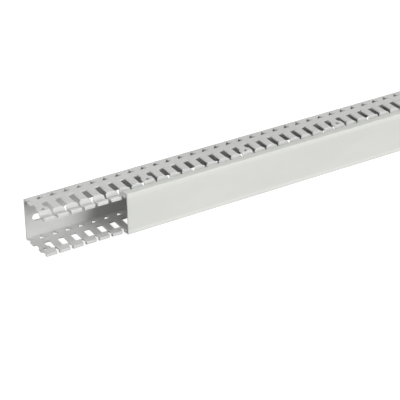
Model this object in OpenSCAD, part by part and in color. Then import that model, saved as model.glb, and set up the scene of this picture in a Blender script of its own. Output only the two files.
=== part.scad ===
// Slotted wire duct with a clip-on cover, 40 x 40 mm, sold in lengths of 1 m and 2 m.
// X runs along the duct, Y = 0 is the mounting face and the cover faces -Y.
// Depths are measured from the mounting face, insets inward from the outer face of a slotted wall.

/* [Duct] */
// Length of the channel, and of the cover
length = 1000; // [500:12.5:1000]
// Width over the two slotted walls
duct_w = 40; // [36:1:60]
// Depth from the mounting face to the front of the cover
duct_d = 40; // [38:1:60]
// Thickness of the slotted walls and fingers
wall_t = 1.5; // [1.2:0.1:1.8]
// Thickness of the base
base_t = 1.6; // [1.2:0.1:2.4]
// Radius of the outer corners along the base
base_r = 0.8; // [0.4:0.1:1.2]

/* [Wall slots] */
// Distance from one slot to the next
pitch = 12.5; // [11:0.5:15]
// Width of the wire slots
slot_w = 6.2; // [5:0.1:7]
// Depth at which the slots begin
slot_start = 14; // [12:0.5:16]
// Radius of the closed corners of the slots
slot_r = 0.9; // [0.5:0.1:1.5]
// Depth at which the slots narrow to a slit and the fingers bend inward
neck_start = 27; // [26:0.5:28]
// Length over which a slot narrows to its slit
neck_len = 1.5; // [1:0.1:2]
// Width of the slit between two fingers
slit_w = 1.8; // [1:0.1:2.2]

/* [Triangular holes] */
// Width of a triangular hole on its side toward the slot
tri_w = 7.8; // [4:0.1:8.5]
// Height of a triangular hole, from its point to that side
tri_h = 5.3; // [3:0.1:5.5]
// Depth at which the point of a triangular hole lies
tri_start = 2; // [1.9:0.1:6]

/* [Wide fingers] */
// A finger with a hole comes once in this many fingers
wide_every = 8; // [4:1:16]
// What a wide finger gains on each side
wide_gain = 2; // [1:0.1:2.2]
// Depth at which a finger begins to widen
wide_start = 20; // [18:0.5:22]
// Length over which it widens
wide_ramp = 2; // [1:0.5:4]
// Diameter of the hole in a wide finger
wide_hole_d = 3.6; // [2:0.1:4]
// Depth of the middle of that hole
wide_hole_depth = 24.5; // [23:0.1:25]

/* [Fingertips] */
// Length over which the fingers bend inward
bend_len = 4.2; // [3.6:0.1:5]
// Inset of the groove that the cover's catch drops into
groove_inset = 3.1; // [2.8:0.1:3.6]
// Length of the snap bead, from its catch face to the fingertip
bead_len = 3.2; // [2.6:0.1:3.6]
// Chamfer along the front of the snap bead
bead_chamfer = 0.8; // [0.4:0.1:1.2]
// Width of the gap between two snap beads
bead_gap = 2.8; // [2.4:0.1:4]
// How far that gap runs back from the catch faces
bead_gap_run = 2; // [0.5:0.1:3]

/* [Mounting holes] */
// Diameter of the round holes and width of the long ones
hole_d = 6.4; // [4:0.1:7]
// Overall length of the long holes
long_hole = 15; // [9:0.1:16]
// Distance from the near end to the middle of the first mounting hole
first_hole = 13.8; // [9:0.1:20]
// Distance from one mounting hole to the next
hole_pitch = 25; // [20:2.5:50]

/* [Cover] */
// Thickness of the cover's front
cover_t = 1.4; // [1.1:0.1:1.8]
// Thickness of the cover's flanges
flange_t = 1.2; // [1:0.1:1.5]
// Radius of the cover's outer corners
cover_r = 1; // [0.5:0.1:1.2]
// Thickness of the catches along the edges of the flanges
catch_t = 1; // [0.8:0.1:1.3]
// How far a catch reaches behind the snap beads
catch_grip = 0.8; // [0.5:0.1:0.9]
// How far the cover is slid back from the near end
set_back = 78; // [0:1:150]
// Gap between the cover and the fingers along the depth
snap_gap = 0.25; // [0.2:0.05:0.4]
// Gap between the fingertips and the inside of the cover's front
front_gap = 0.6; // [0.3:0.1:1]

/* [Hidden] */
$fn = 32;
plastic = "#d2d3ce";

near_end = -length / 2;
half_w = duct_w / 2;
slots = floor(length / pitch);

// Least length of base left past the last mounting hole
last_land = 2;
holes = floor((length - first_hole - long_hole / 2 - last_land) / hole_pitch) + 1;

// Depths along a finger, and insets from the outer face of a slotted wall
tip_depth = duct_d - cover_t - front_gap;
bead_depth = tip_depth - bead_len;
bead_inset = flange_t + snap_gap;
bead_gap_start = bead_depth - bead_gap_run;
groove_start = neck_start + bend_len;
catch_depth = bead_depth - snap_gap;
catch_inset = bead_inset + catch_grip;

// The inner face of a finger bends a little sooner than its outer face
bend_angle = atan(groove_inset / bend_len);
bend_shift = -wall_t * tan(bend_angle / 2);

// How far a cutter passes the face that it cuts through
overshoot = 1;

// Points on an arc round centre c, from angle a0 to a1
function arc(c, r, a0, a1, n = 4) =
    [for (k = [0 : n]) let (a = a0 + (a1 - a0) * k / n) c + r * [cos(a), sin(a)]];

// Mirror of a list of points about x = 0, in the order that closes the outline
function mirrored(points) =
    [for (k = [len(points) - 1 : -1 : 0]) [-points[k][0], points[k][1]]];

// Outer edge of half the channel, from the middle of the base to the inside of the fingertip,
// as [distance from the mid plane, depth]
function half_channel() = concat(
    arc([half_w - base_r, base_r], base_r, -90, 0),
    [
        [half_w, neck_start],
        [half_w - groove_inset, groove_start],
        [half_w - groove_inset, bead_depth],
        [half_w - bead_inset, bead_depth],
        [half_w - bead_inset, tip_depth - bead_chamfer],
        [half_w - bead_inset - bead_chamfer, tip_depth],
        [half_w - groove_inset - wall_t, tip_depth],
        [half_w - groove_inset - wall_t, groove_start + bend_shift],
        [half_w - wall_t, neck_start + bend_shift],
        [half_w - wall_t, base_t],
    ]);

// Inner and outer edge of half the cover, as [distance from the mid plane, depth]
function half_cover() = concat(
    [
        [half_w - flange_t, duct_d - cover_t],
        [half_w - flange_t, catch_depth],
        [half_w - catch_inset, catch_depth],
        [half_w - catch_inset, catch_depth - catch_t],
        [half_w, catch_depth - catch_t],
    ],
    arc([half_w - cover_r, duct_d - cover_r], cover_r, 0, 90));

// A section drawn as [distance from the mid plane, depth], run along the duct
module extrude_section(from, run) {
    translate([from, 0, 0])
        rotate([90, 0, 90])
            linear_extrude(run)
                rotate([0, 0, 90])
                    children();
}

// One side of a slot's outline beside a plain or a wide finger, as [distance from the slot's middle, depth]
function slot_side(wide) = let (
        wide_half = slot_w / 2,
        neck_half = wide ? slot_w / 2 - wide_gain : slot_w / 2)
    concat(
        arc([wide_half - slot_r, slot_start + slot_r], slot_r, -90, 0, 3),
        wide ? [[wide_half, wide_start], [neck_half, wide_start + wide_ramp]] : [],
        [
            [neck_half, neck_start],
            [slit_w / 2, neck_start + neck_len],
            [slit_w / 2, bead_gap_start],
            [bead_gap / 2, bead_gap_start],
            [bead_gap / 2, tip_depth + overshoot],
        ]);

// Finger k lies between slots k and k + 1
function is_wide(k) = k % wide_every == 0;

// What is punched out of the slotted walls, as seen through both of them
module wall_pattern() {
    for (k = [0 : slots]) {
        translate([k * pitch, 0]) {
            polygon(concat(slot_side(is_wide(k)), mirrored(slot_side(is_wide(k - 1)))));
            polygon([[0, tri_start], [tri_w / 2, tri_start + tri_h], [-tri_w / 2, tri_start + tri_h]]);
        }
        if (is_wide(k) && k < slots)
            translate([(k + 0.5) * pitch, wide_hole_depth])
                circle(d = wide_hole_d);
    }
}

// A mounting hole along Y, round or long
module mounting_hole(long) {
    reach = (long_hole - hole_d) / 2;
    cut = base_t + 2 * overshoot;
    rotate([90, 0, 0])
        translate([0, 0, -overshoot])
            if (long) {
                for (side = [-1, 1])
                    translate([side * reach, 0, 0])
                        cylinder(d = hole_d, h = cut);
                translate([-reach, -hole_d / 2, 0])
                    cube([2 * reach, hole_d, cut]);
            } else {
                cylinder(d = hole_d, h = cut);
            }
}

module duct_channel() {
    color(plastic)
        difference() {
            extrude_section(near_end, length)
                polygon(concat(half_channel(), mirrored(half_channel())));
            translate([near_end, 0, -half_w - overshoot])
                linear_extrude(duct_w + 2 * overshoot)
                    mirror([0, 1])
                        wall_pattern();
            for (k = [0 : holes - 1])
                translate([near_end + first_hole + k * hole_pitch, 0, 0])
                    mounting_hole(k % 2 == 0);
        }
}

module cover() {
    color(plastic)
        extrude_section(near_end + set_back, length)
            polygon(concat(half_cover(), mirrored(half_cover())));
}

duct_channel();
cover();
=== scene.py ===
from math import radians

import bpy
from mathutils import Euler, Matrix, Vector


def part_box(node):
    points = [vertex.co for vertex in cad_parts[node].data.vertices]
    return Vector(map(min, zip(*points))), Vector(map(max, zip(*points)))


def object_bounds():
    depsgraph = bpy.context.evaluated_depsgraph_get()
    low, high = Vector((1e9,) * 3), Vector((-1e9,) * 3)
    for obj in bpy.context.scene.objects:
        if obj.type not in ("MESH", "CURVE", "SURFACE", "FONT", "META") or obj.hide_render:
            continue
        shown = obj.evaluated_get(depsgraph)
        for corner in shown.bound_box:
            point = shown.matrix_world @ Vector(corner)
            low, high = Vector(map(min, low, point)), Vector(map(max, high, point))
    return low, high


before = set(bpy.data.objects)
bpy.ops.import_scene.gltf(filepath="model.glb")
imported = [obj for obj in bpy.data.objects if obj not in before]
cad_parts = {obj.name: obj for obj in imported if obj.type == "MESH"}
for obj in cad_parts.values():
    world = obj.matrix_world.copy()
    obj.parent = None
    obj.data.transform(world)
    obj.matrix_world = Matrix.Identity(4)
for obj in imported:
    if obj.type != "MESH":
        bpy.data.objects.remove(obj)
cad_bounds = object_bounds()

# Sizes and places are in metres and angles in degrees, in the duct's own frame: the near end is at -X,
# the mounting face at Y = 0 and the cover at -Y, and Z is up. The lens and sensor are in millimetres.
channel_low, channel_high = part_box("duct_channel")
mid_depth = (cad_bounds[0].y + cad_bounds[1].y) / 2

# Camera: a long lens, looking down on the near end and into the open part of the duct
CAMERA_AZIMUTH = 30.53
CAMERA_ELEVATION = 29.66
CAMERA_ROLL = -0.65
CAMERA_LENS = 137.9
CAMERA_SENSOR = 36
CAMERA_DISTANCE = 1.3685
CAMERA_CLIP = (0.05, 50)
AIM_FROM_NEAR_END = 0.1613

# Plastic, as linear colours: the cover is a touch yellower than the channel. The last two colours are
# painted highlights: a pale band along the cover's long front edges, and paler sharp edges
CHANNEL_PALE = (0.658, 0.661, 0.646, 1)
CHANNEL_DEEP = (0.614, 0.617, 0.602, 1)
COVER_PALE = (0.671, 0.678, 0.646, 1)
COVER_DEEP = (0.643, 0.650, 0.618, 1)
COVER_PAINTED_HIGHLIGHT = (0.707, 0.713, 0.682, 1)
EDGE_PAINTED_HIGHLIGHT = (0.760, 0.763, 0.745, 1)

# The painted highlight on the cover's front, a pale band given as insets from its long edges, and how
# softly it begins
HIGHLIGHT_BAND_START = 0.0009
HIGHLIGHT_BAND_END = 0.0042
HIGHLIGHT_BAND_BLUR = 0.0004

# Die lines along the duct: how finely they repeat along each axis, and how they raise and roughen the face.
# A SPAN is the part of a noise's values that is stretched over the whole effect.
DIE_LINES_PER_METRE = (4, 900, 900)
DIE_LINE_SPAN = (0.3, 0.7)
DIE_LINE_HEIGHT = 0.00006
DIE_LINE_STRENGTH = 0.3
ROUGHNESS = (0.44, 0.6)
SPECULAR = 0.4

# Fine grain, and slow changes of shade from the deep colour to the pale one
GRAIN_PER_METRE = 2600
GRAIN_HEIGHT = 0.00004
GRAIN_STRENGTH = 0.35
SHADE_PER_METRE = 14
SHADE_STRETCH = (1, 3, 3)
SHADE_SPAN = (0.35, 0.65)

# Sharp edges: how they are rounded, and a painted highlight on them: how well the rounded normal agrees
# with the face's own where the highlight begins and where it is full, and the patches that break it up
EDGE_RADIUS = 0.00018
EDGE_SAMPLES = 6
HIGHLIGHT_AGREEMENT = (0.98, 0.80)
HIGHLIGHT_PATCHES_PER_METRE = 90
HIGHLIGHT_PATCH_SPAN = (0.4, 0.6)
HIGHLIGHT_AMOUNT = (0.2, 0.9)

# Soft distant lamps: name, azimuth, elevation, strength.
# They stand wide of the camera, so the inside seen through the slots stays dark.
LAMPS = (
    ("front_right", -35, 10, 2.75),
    ("right", -75, 20, 1.55),
    ("left", 85, 25, 1.85),
    ("front_top", 0, 55, 0.35),
    ("back", 180, 15, 1.3),
)
LAMP_SPREAD = 34

# World, plain white: its strength as light from all round, and as the camera sees it
WORLD_COLOUR = (1, 1, 1, 1)
WORLD_LIGHT = 0.112
WORLD_SEEN = 1

# Floor: how grey it is to the light, what it adds for the camera, its size and its gap under the duct
FLOOR_GREY = (0.35, 0.35, 0.35, 1)
FLOOR_GLOW = 0.9
FLOOR_SIZE = 30
FLOOR_GAP = 0.0002


def look_direction(azimuth, elevation):
    """Rotation of a camera or lamp that looks along +Y, turned towards +X and tilted down, in degrees."""
    return Euler((radians(90 - elevation), 0, radians(-azimuth))).to_matrix().to_4x4()


def add_camera():
    data = bpy.data.cameras.new("camera")
    data.sensor_width = CAMERA_SENSOR
    data.lens = CAMERA_LENS
    data.clip_start, data.clip_end = CAMERA_CLIP
    camera = bpy.data.objects.new("camera", data)
    bpy.context.scene.collection.objects.link(camera)
    aim = Vector((channel_low.x + AIM_FROM_NEAR_END, mid_depth, channel_low.z))
    turn = look_direction(CAMERA_AZIMUTH, CAMERA_ELEVATION)
    back = turn @ Vector((0, 0, CAMERA_DISTANCE))
    roll = Matrix.Rotation(radians(CAMERA_ROLL), 4, "Z")
    camera.matrix_world = Matrix.Translation(aim + back) @ turn @ roll
    bpy.context.scene.camera = camera


class Nodes:
    """Adds nodes to one material or world and links them."""

    def __init__(self, owner):
        owner.use_nodes = True
        self.tree = owner.node_tree
        self.tree.nodes.clear()

    def add(self, kind, **values):
        node = self.tree.nodes.new(kind)
        for name, value in values.items():
            setattr(node, name, value)
        return node

    def link(self, source, target):
        self.tree.links.new(source, target)

    def noise(self, vector, scale, detail, roughness=0.5):
        node = self.add("ShaderNodeTexNoise")
        node.inputs["Scale"].default_value = scale
        node.inputs["Detail"].default_value = detail
        node.inputs["Roughness"].default_value = roughness
        self.link(vector, node.inputs["Vector"])
        return node.outputs["Fac"]

    def stretched(self, vector, scale):
        node = self.add("ShaderNodeMapping")
        node.inputs["Scale"].default_value = scale
        self.link(vector, node.inputs["Vector"])
        return node.outputs["Vector"]

    def remap(self, value, source, target):
        """Stretches the source range over the target range, and clamps what lies outside."""
        node = self.add("ShaderNodeMapRange")
        node.inputs["From Min"].default_value, node.inputs["From Max"].default_value = source
        node.inputs["To Min"].default_value, node.inputs["To Max"].default_value = target
        self.link(value, node.inputs["Value"])
        return node.outputs["Result"]

    def multiply(self, first, second):
        node = self.add("ShaderNodeMath", operation="MULTIPLY")
        self.link(first, node.inputs[0])
        self.link(second, node.inputs[1])
        return node.outputs["Value"]

    def mix_colour(self, factor, first, second):
        """Mixes two colours, of which the first may be another node's output."""
        node = self.add("ShaderNodeMix", data_type="RGBA")
        if isinstance(first, tuple):
            node.inputs["A"].default_value = first
        else:
            self.link(first, node.inputs["A"])
        node.inputs["B"].default_value = second
        self.link(factor, node.inputs["Factor"])
        return node.outputs["Result"]

    def bump(self, height, strength, distance, normal):
        node = self.add("ShaderNodeBump")
        node.inputs["Strength"].default_value = strength
        node.inputs["Distance"].default_value = distance
        self.link(height, node.inputs["Height"])
        self.link(normal, node.inputs["Normal"])
        return node.outputs["Normal"]

    def background(self, strength):
        node = self.add("ShaderNodeBackground")
        node.inputs["Color"].default_value = WORLD_COLOUR
        node.inputs["Strength"].default_value = strength
        return node.outputs["Background"]

    def finish_by_ray(self, unseen, seen, kind):
        """Ends in one shader for the light and another for the camera."""
        path = self.add("ShaderNodeLightPath")
        mix = self.add("ShaderNodeMixShader")
        self.link(path.outputs["Is Camera Ray"], mix.inputs["Fac"])
        self.link(unseen, mix.inputs[1])
        self.link(seen, mix.inputs[2])
        self.link(mix.outputs["Shader"], self.add(kind).inputs["Surface"])


def painted_highlight_band(nodes, place):
    """Mask of the painted highlight: two pale bands along the long edges of the cover's front, by the
    height off mid-width.
    """
    split = nodes.add("ShaderNodeSeparateXYZ")
    nodes.link(place, split.inputs["Vector"])
    absolute = nodes.add("ShaderNodeMath", operation="ABSOLUTE")
    nodes.link(split.outputs["Z"], absolute.inputs[0])
    height = absolute.outputs["Value"]
    inner = channel_high.z - HIGHLIGHT_BAND_END
    outer = channel_high.z - HIGHLIGHT_BAND_START
    past_inner = nodes.remap(height, (inner - HIGHLIGHT_BAND_BLUR, inner + HIGHLIGHT_BAND_BLUR), (0, 1))
    before_outer = nodes.remap(height, (outer - HIGHLIGHT_BAND_BLUR, outer + HIGHLIGHT_BAND_BLUR), (1, 0))
    return nodes.multiply(past_inner, before_outer)


def painted_edge_highlights(nodes, place, rounded):
    """Mask of the painted highlight on the sharp edges, where the rounded normal leaves the face's own,
    broken up into patches.
    """
    face = nodes.add("ShaderNodeNewGeometry")
    agree = nodes.add("ShaderNodeVectorMath", operation="DOT_PRODUCT")
    nodes.link(rounded, agree.inputs[0])
    nodes.link(face.outputs["True Normal"], agree.inputs[1])
    edges = nodes.remap(agree.outputs["Value"], HIGHLIGHT_AGREEMENT, (0, 1))
    patches = nodes.remap(nodes.noise(place, HIGHLIGHT_PATCHES_PER_METRE, detail=3), HIGHLIGHT_PATCH_SPAN, HIGHLIGHT_AMOUNT)
    return nodes.multiply(edges, patches)


def extruded_plastic(name, pale, deep, painted_highlight=None):
    """Matt PVC: faint die lines along the duct, a fine grain, slow changes of shade, a painted highlight on
    the sharp edges and, when given, a painted highlight band along the cover's long edges.
    """
    material = bpy.data.materials.new(name)
    nodes = Nodes(material)
    place = nodes.add("ShaderNodeTexCoord").outputs["Object"]
    die_lines = nodes.noise(nodes.stretched(place, DIE_LINES_PER_METRE), 1, detail=3)
    grain = nodes.noise(place, GRAIN_PER_METRE, detail=3, roughness=0.6)
    shade = nodes.noise(nodes.stretched(place, SHADE_STRETCH), SHADE_PER_METRE, detail=4)
    bevel = nodes.add("ShaderNodeBevel", samples=EDGE_SAMPLES)
    bevel.inputs["Radius"].default_value = EDGE_RADIUS
    rounded = bevel.outputs["Normal"]

    colour = nodes.mix_colour(nodes.remap(shade, SHADE_SPAN, (0, 1)), deep, pale)
    if painted_highlight:
        # Painted highlight: a pale band along each long edge of the cover's front
        colour = nodes.mix_colour(painted_highlight_band(nodes, place), colour, painted_highlight)
    # Painted highlight: paler colour on the sharp edges, in patches
    colour = nodes.mix_colour(painted_edge_highlights(nodes, place, rounded), colour, EDGE_PAINTED_HIGHLIGHT)

    shader = nodes.add("ShaderNodeBsdfPrincipled")
    nodes.link(colour, shader.inputs["Base Color"])
    nodes.link(nodes.remap(die_lines, DIE_LINE_SPAN, ROUGHNESS), shader.inputs["Roughness"])
    shader.inputs["Specular IOR Level"].default_value = SPECULAR
    lined = nodes.bump(die_lines, DIE_LINE_STRENGTH, DIE_LINE_HEIGHT, rounded)
    grained = nodes.bump(grain, GRAIN_STRENGTH, GRAIN_HEIGHT, lined)
    nodes.link(grained, shader.inputs["Normal"])
    output = nodes.add("ShaderNodeOutputMaterial")
    nodes.link(shader.outputs["BSDF"], output.inputs["Surface"])
    return material


def add_floor():
    """A flat floor: grey to the light, so that it throws little back, and white to the camera."""
    half = FLOOR_SIZE / 2
    corners = [(-half, -half, 0), (half, -half, 0), (half, half, 0), (-half, half, 0)]
    mesh = bpy.data.meshes.new("floor")
    mesh.from_pydata(corners, [], [(0, 1, 2, 3)])
    floor = bpy.data.objects.new("floor", mesh)
    floor.location.z = channel_low.z - FLOOR_GAP
    bpy.context.scene.collection.objects.link(floor)

    material = bpy.data.materials.new("floor")
    nodes = Nodes(material)
    matt = nodes.add("ShaderNodeBsdfDiffuse")
    matt.inputs["Color"].default_value = FLOOR_GREY
    glow = nodes.add("ShaderNodeEmission")
    glow.inputs["Strength"].default_value = FLOOR_GLOW
    both = nodes.add("ShaderNodeAddShader")
    nodes.link(matt.outputs["BSDF"], both.inputs[0])
    nodes.link(glow.outputs["Emission"], both.inputs[1])
    nodes.finish_by_ray(matt.outputs["BSDF"], both.outputs["Shader"], "ShaderNodeOutputMaterial")
    mesh.materials.append(material)


def add_world():
    """Soft light from all round, and plain white where the camera sees past the floor."""
    world = bpy.data.worlds.new("studio")
    nodes = Nodes(world)
    unseen = nodes.background(WORLD_LIGHT)
    seen = nodes.background(WORLD_SEEN)
    nodes.finish_by_ray(unseen, seen, "ShaderNodeOutputWorld")
    bpy.context.scene.world = world


def add_lamp(name, azimuth, elevation, strength):
    """A distant lamp with a wide disc, so that the light is soft and even along the whole duct."""
    data = bpy.data.lights.new(name, "SUN")
    data.angle = radians(LAMP_SPREAD)
    data.energy = strength
    lamp = bpy.data.objects.new(name, data)
    bpy.context.scene.collection.objects.link(lamp)
    lamp.matrix_world = look_direction(azimuth, elevation)


add_camera()
add_world()
add_floor()
for lamp in LAMPS:
    add_lamp(*lamp)

channel_plastic = extruded_plastic("channel_plastic", CHANNEL_PALE, CHANNEL_DEEP)
cover_plastic = extruded_plastic("cover_plastic", COVER_PALE, COVER_DEEP, COVER_PAINTED_HIGHLIGHT)
for node, material in (("duct_channel", channel_plastic), ("cover", cover_plastic)):
    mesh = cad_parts[node].data
    mesh.materials.clear()
    mesh.materials.append(material)

bpy.context.scene.view_settings.view_transform = "Standard"
